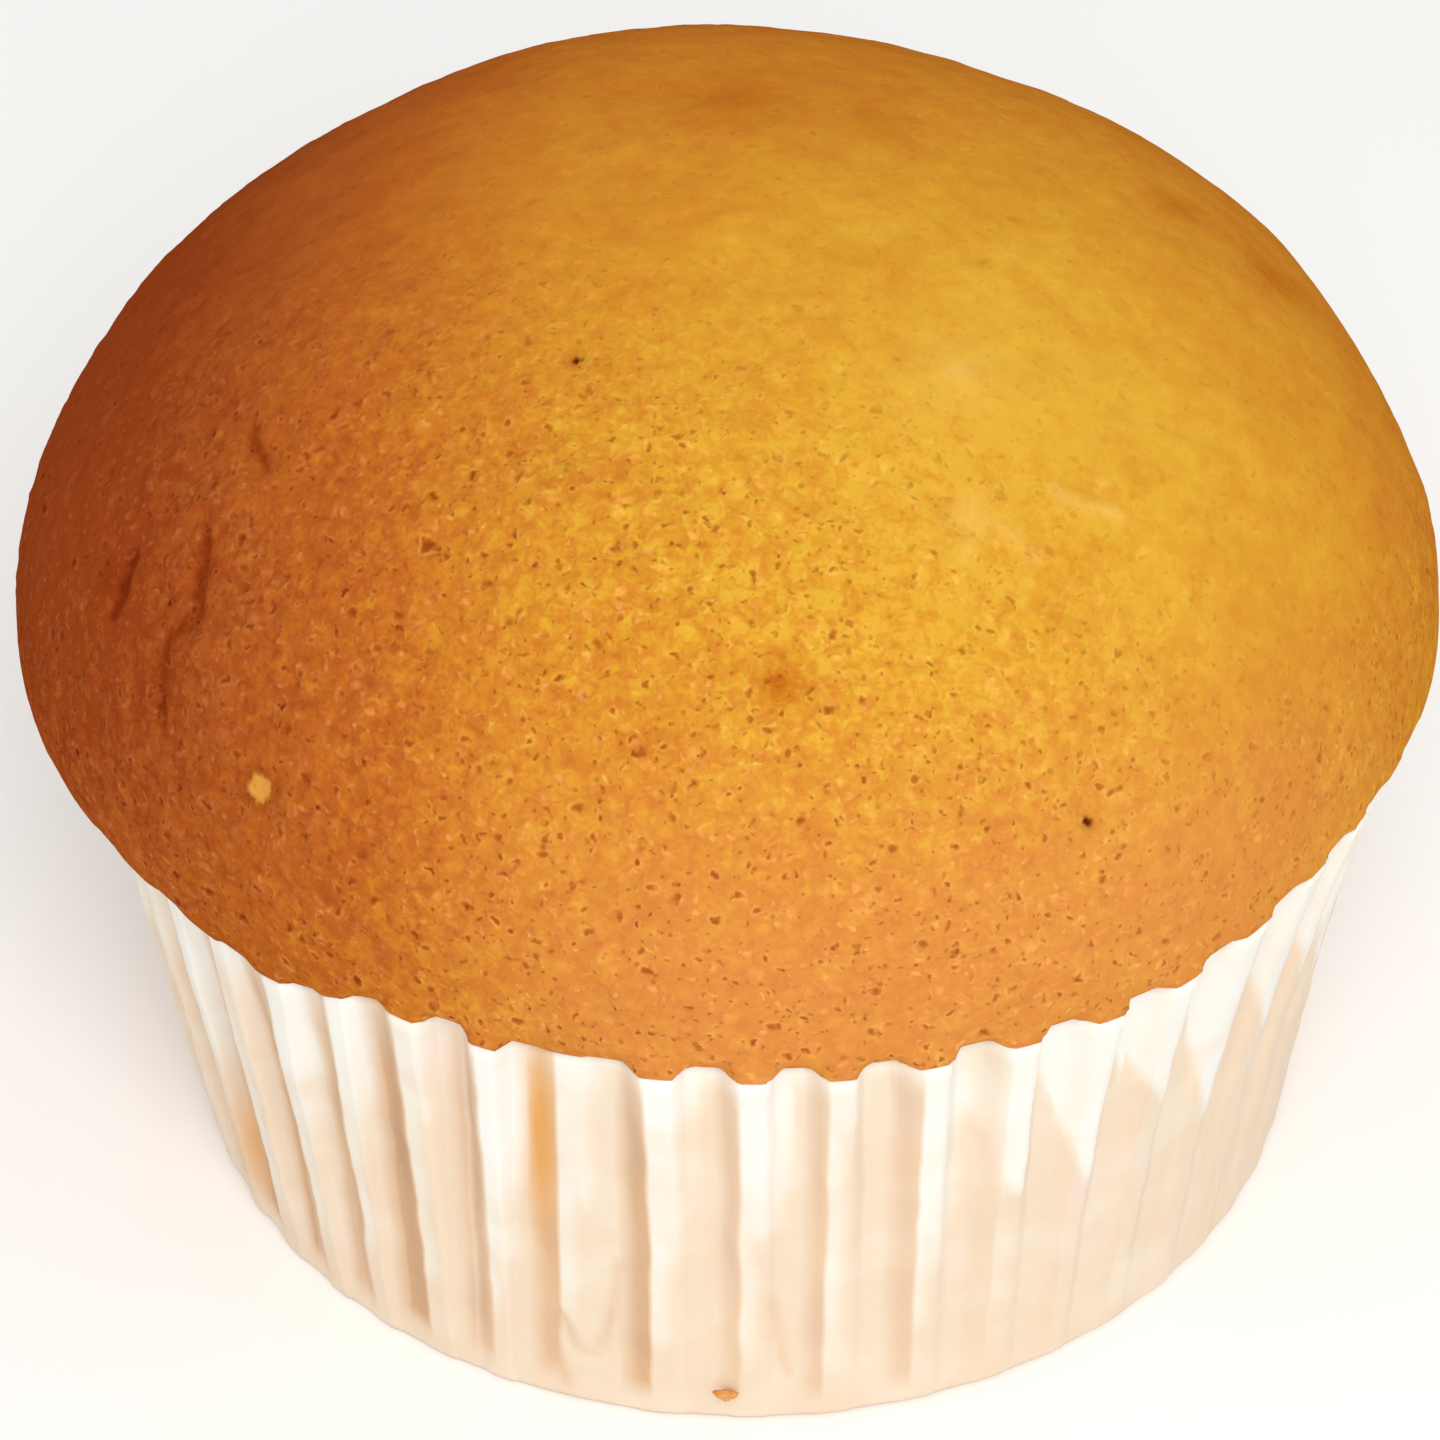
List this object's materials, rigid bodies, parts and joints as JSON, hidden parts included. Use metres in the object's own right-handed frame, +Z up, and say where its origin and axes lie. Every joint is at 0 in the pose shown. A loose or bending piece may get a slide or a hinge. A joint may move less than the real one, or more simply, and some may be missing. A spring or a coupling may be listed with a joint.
{
  "type": "queen cake",
  "caption": "Small domed sponge cake in a pleated white paper baking case, its browned crust rounding over the rim.",
  "frame": {"origin": "centre of the paper case's flat base, on the table", "axes": "+Z up, -Y towards the front of the cake, +X to its right as seen from the front"},
  "size_m": [0.0626, 0.0601, 0.0481],
  "materials": {
    "sponge_cake": "baked golden crust, soft sheen, finely pored",
    "paper_case": "white greaseproof paper, matt, peach where butter has soaked in"
  },
  "bodies": {
    "root": {"sponge_cake": "sponge_cake", "paper_case": "paper_case"}
  },
  "joints": []
}
